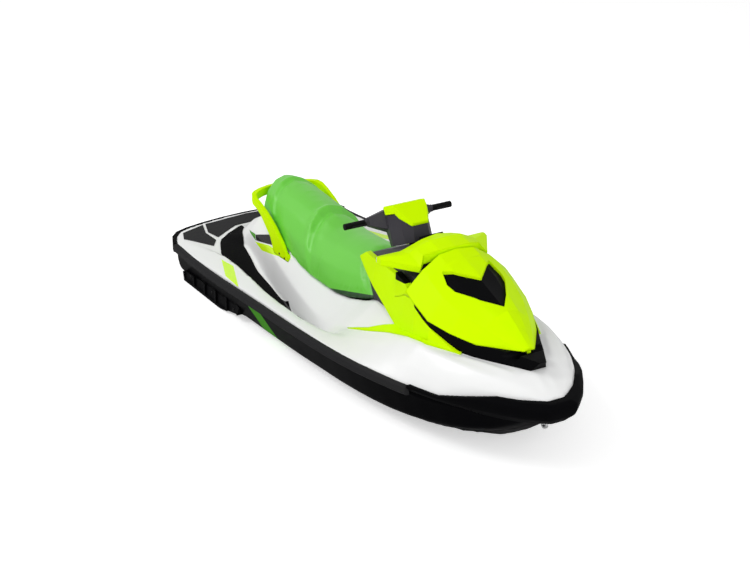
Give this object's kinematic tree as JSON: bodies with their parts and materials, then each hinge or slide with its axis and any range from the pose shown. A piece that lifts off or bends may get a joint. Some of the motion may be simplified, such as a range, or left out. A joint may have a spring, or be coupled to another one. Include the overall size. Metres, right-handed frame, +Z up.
{
  "type": "three-seat personal watercraft",
  "caption": "Personal watercraft: black vee hull, white deck, lime panels, green saddle, hinged front storage hood, raked handlebar, steerable jet pump and reverse bucket.",
  "frame": {"origin": "on the centre plane, amidships between the stern platform's edge and the bow bumper's tip, at the waterline, 165 mm above the keel", "axes": "+X forward to the bow, +Y to port, +Z up"},
  "size_m": [3.368, 1.224, 1.1157],
  "materials": {
    "hull_black": "glossy gelcoat",
    "deck_white": "glossy gelcoat",
    "panel_lime": "glossy moulded panel",
    "rail_rubber": "matt extrusion",
    "bumper_black": "satin",
    "mat_foam": "textured foam",
    "seat_vinyl": "marine vinyl with stitched seams",
    "plastic_black": "grained",
    "plastic_grey": "satin",
    "grip_rubber": "matt",
    "mirror": "silvered",
    "steel": "stainless",
    "cast_alloy": "cast and painted"
  },
  "bodies": {
    "craft": {"hull": "hull_black", "deck": "deck_white", "rub_rail_starboard": "rail_rubber", "rub_rail_port": "rail_rubber", "bow_bumper": "bumper_black", "stern_bumper": "bumper_black", "footwell_mat_starboard": "mat_foam", "footwell_mat_port": "mat_foam", "platform_mats": "mat_foam", "seat": "seat_vinyl", "grab_handle": "panel_lime", "cowl": "panel_lime", "mirror_glass": "mirror", "console": "plastic_grey", "gauge": "plastic_black", "knee_panel_starboard": "panel_lime", "knee_panel_port": "panel_lime", "storage_rim": "plastic_black", "storage_bin": "plastic_black", "pump_housing": "cast_alloy", "venturi": "cast_alloy", "ride_plate": "cast_alloy", "intake_grate": "cast_alloy", "engine": "cast_alloy", "sponson_starboard": "plastic_black", "sponson_port": "plastic_black", "bow_eye": "steel", "stern_eyes": "steel", "drain_plugs": "plastic_black"},
    "handlebar": {"handlebar": "steel", "grips": "grip_rubber", "levers": "cast_alloy", "steering_cover": "plastic_grey", "steering_pad": "panel_lime"},
    "nozzle": {"steering_nozzle": "cast_alloy"},
    "bucket": {"reverse_bucket": "cast_alloy"},
    "impeller": {"impeller": "steel", "drive_shaft": "steel"},
    "hood": {"hood": "panel_lime", "hood_vents": "plastic_black"}
  },
  "joints": [
    {"name": "steering", "type": "hinge", "parent": "craft", "child": "handlebar", "pos_m": [0.276, 0, 0.733], "axis": [-0.4226, 0, 0.9063], "range_deg": [-25, 25]},
    {"name": "nozzle_steer", "type": "hinge", "parent": "craft", "child": "nozzle", "pos_m": [-1.384, 0, -0.03], "axis": [0, 0, 1], "range_deg": [-20, 20]},
    {"name": "bucket_swing", "type": "hinge", "parent": "craft", "child": "bucket", "pos_m": [-1.416, 0, -0.03], "axis": [0, -1, 0], "range_deg": [0, 62]},
    {"name": "impeller_spin", "type": "hinge", "parent": "craft", "child": "impeller", "pos_m": [-1.144, 0, -0.03], "axis": [1, 0, 0], "continuous": true},
    {"name": "hood_lift", "type": "hinge", "parent": "craft", "child": "hood", "pos_m": [1.366, 0, 0.547], "axis": [0, 1, 0], "range_deg": [0, 60]}
  ],
  "couplings": [
    {"joint": "nozzle_steer", "follows": "steering", "ratio": -0.8}
  ]
}
